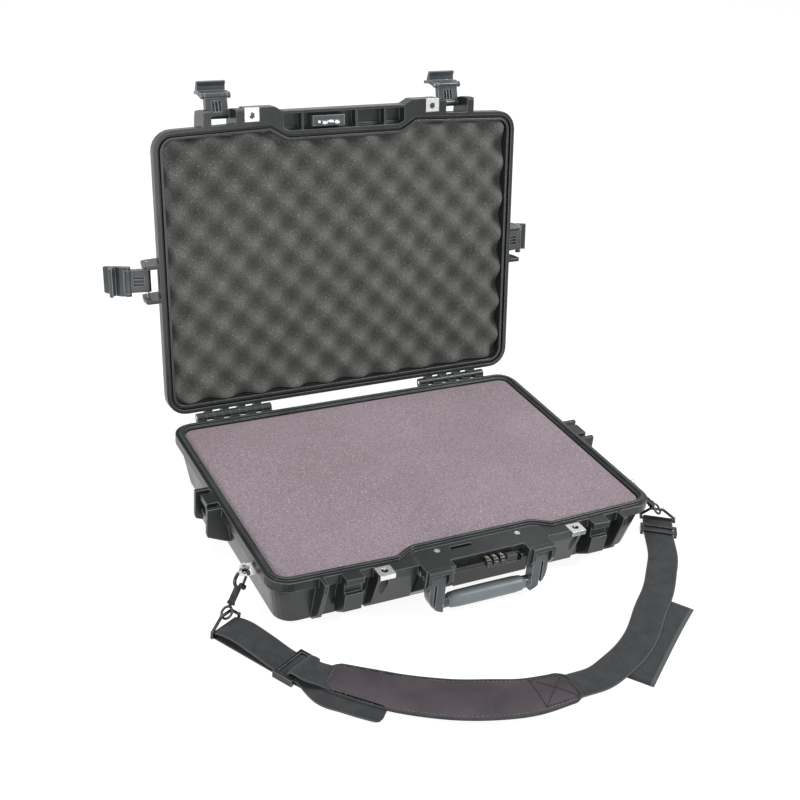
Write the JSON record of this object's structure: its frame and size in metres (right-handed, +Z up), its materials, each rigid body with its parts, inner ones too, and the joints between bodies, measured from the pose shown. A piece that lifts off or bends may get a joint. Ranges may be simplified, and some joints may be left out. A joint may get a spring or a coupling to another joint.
{
  "type": "laptop hard case",
  "caption": "Black hard case for a laptop, open, with foam linings, draw latches, a folding handle, a dial lock and a shoulder strap.",
  "frame": {"origin": "on the floor, under the middle of the base's parting flange", "axes": "+Z up, -Y towards the front of the case (handle and lock), +X to the right seen from the front"},
  "size_m": [0.6399, 0.7223, 0.4836],
  "materials": {
    "shell": "black injection-moulded polypropylene, fine grain",
    "latch_plastic": "black glass-filled nylon, satin",
    "base_foam": "open-cell foam, cut flat, mauve grey",
    "lid_foam": "open-cell foam with a waved face, mid grey",
    "seal_rubber": "black neoprene cord",
    "bright_steel": "stainless steel, lightly brushed",
    "chrome": "chromed steel",
    "lock_plastic": "dark grey moulded nylon",
    "dial": "white moulded dial",
    "valve": "dark red moulded cap",
    "grip_rubber": "blue-grey thermoplastic rubber",
    "hook_metal": "dark nickel-plated zinc and wire",
    "webbing": "black woven polyester webbing",
    "buckle_plastic": "black acetal",
    "pad_fabric": "dark woven cover over soft padding"
  },
  "bodies": {
    "base": {"base_shell": "shell", "base_foam": "base_foam", "lock_cover": "shell", "cover_screws": "bright_steel", "lock_body": "lock_plastic", "dial_spindle": "bright_steel", "relief_valve": "valve", "base_padlock_plates": "bright_steel", "hinge_pins": "bright_steel", "handle_pins": "bright_steel", "strap_lugs": "bright_steel", "snap_hook_left": "hook_metal", "snap_hook_right": "hook_metal", "gate_pins": "hook_metal", "swivel_head_left": "hook_metal", "swivel_head_right": "hook_metal", "strap_loop_left": "hook_metal", "strap_loop_right": "hook_metal", "web_left": "webbing", "strap_adjuster": "buckle_plastic", "web_pad": "webbing", "shoulder_pad": "pad_fabric", "web_right": "webbing", "strap_triglide": "buckle_plastic", "strap_flap": "webbing"},
    "lid": {"lid_shell": "shell", "lid_foam": "lid_foam", "lid_seal": "seal_rubber", "lid_padlock_plates": "bright_steel", "hasp_plate": "latch_plastic", "hasp_loops": "chrome", "latch_pins": "bright_steel"},
    "arm_1": {"latch_arm_1": "latch_plastic", "lever_pin_1": "bright_steel"},
    "lever_1": {"latch_lever_1": "latch_plastic"},
    "arm_2": {"latch_arm_2": "latch_plastic", "lever_pin_2": "bright_steel"},
    "lever_2": {"latch_lever_2": "latch_plastic"},
    "arm_3": {"latch_arm_3": "latch_plastic", "lever_pin_3": "bright_steel"},
    "lever_3": {"latch_lever_3": "latch_plastic"},
    "arm_4": {"latch_arm_4": "latch_plastic", "lever_pin_4": "bright_steel"},
    "lever_4": {"latch_lever_4": "latch_plastic"},
    "handle": {"handle_frame": "latch_plastic", "handle_grip": "grip_rubber"},
    "dial_1": {"lock_dial_1": "dial"},
    "dial_2": {"lock_dial_2": "dial"},
    "dial_3": {"lock_dial_3": "dial"},
    "button": {"lock_button": "lock_plastic"},
    "catch": {"lock_catch": "bright_steel"},
    "gate_left": {"hook_gate_left": "hook_metal"},
    "gate_right": {"hook_gate_right": "hook_metal"}
  },
  "joints": [
    {"name": "lid_hinge", "type": "hinge", "parent": "base", "child": "lid", "pos_m": [0, 0.19055, 0.07113], "axis": [-1, 0, 0], "range_deg": [-99.08, 0]},
    {"name": "latch_arm_1", "type": "hinge", "parent": "lid", "child": "arm_1", "pos_m": [-0.163, 0.27683, 0.44708], "axis": [-1, 0, 0], "range_deg": [-62, 8]},
    {"name": "latch_lever_1", "type": "hinge", "parent": "arm_1", "child": "lever_1", "pos_m": [-0.163, 0.28293, 0.47031], "axis": [-1, 0, 0], "range_deg": [-105, 1]},
    {"name": "latch_arm_2", "type": "hinge", "parent": "lid", "child": "arm_2", "pos_m": [0.163, 0.27683, 0.44708], "axis": [-1, 0, 0], "range_deg": [-62, 8]},
    {"name": "latch_lever_2", "type": "hinge", "parent": "arm_2", "child": "lever_2", "pos_m": [0.163, 0.28293, 0.47031], "axis": [-1, 0, 0], "range_deg": [-105, 1]},
    {"name": "latch_arm_3", "type": "hinge", "parent": "lid", "child": "arm_3", "pos_m": [-0.263, 0.2453, 0.24978], "axis": [0, -0.1578, -0.9875], "range_deg": [-62, 8]},
    {"name": "latch_lever_3", "type": "hinge", "parent": "arm_3", "child": "lever_3", "pos_m": [-0.2869, 0.24762, 0.24941], "axis": [0, -0.1578, -0.9875], "range_deg": [-61, 45]},
    {"name": "latch_arm_4", "type": "hinge", "parent": "lid", "child": "arm_4", "pos_m": [0.263, 0.2453, 0.24978], "axis": [0, 0.1578, 0.9875], "range_deg": [-62, 8]},
    {"name": "latch_lever_4", "type": "hinge", "parent": "arm_4", "child": "lever_4", "pos_m": [0.2869, 0.24762, 0.24941], "axis": [0, 0.1578, 0.9875], "range_deg": [-93, 13]},
    {"name": "handle", "type": "hinge", "parent": "base", "child": "handle", "pos_m": [0, -0.21035, 0.057], "axis": [-1, 0, 0], "range_deg": [0, 94]},
    {"name": "dial_1", "type": "hinge", "parent": "base", "child": "dial_1", "pos_m": [-0.002, -0.20895, 0.059], "axis": [1, 0, 0], "continuous": true},
    {"name": "dial_2", "type": "hinge", "parent": "base", "child": "dial_2", "pos_m": [0.0073, -0.20895, 0.059], "axis": [1, 0, 0], "continuous": true},
    {"name": "dial_3", "type": "hinge", "parent": "base", "child": "dial_3", "pos_m": [0.0166, -0.20895, 0.059], "axis": [1, 0, 0], "continuous": true},
    {"name": "lock_button", "type": "slide", "parent": "base", "child": "button", "axis": [-1, 0, 0], "range_m": [-0.006, 0]},
    {"name": "lock_catch", "type": "slide", "parent": "base", "child": "catch", "axis": [0, -1, 0], "range_m": [-0.004, 0]},
    {"name": "gate_left", "type": "hinge", "parent": "base", "child": "gate_left", "pos_m": [-0.27173, -0.13843, 0.04442], "axis": [-0.7361, 0, 0.6769], "range_deg": [0, 16], "stiffness_Nm_per_rad": 0.02, "springref_deg": -11.46},
    {"name": "gate_right", "type": "hinge", "parent": "base", "child": "gate_right", "pos_m": [0.27472, -0.13518, 0.0434], "axis": [-0.6737, 0, -0.739], "range_deg": [0, 16], "stiffness_Nm_per_rad": 0.02, "springref_deg": -11.46}
  ],
  "couplings": [
    {"joint": "lock_catch", "follows": "lock_button", "ratio": 0.66667}
  ]
}
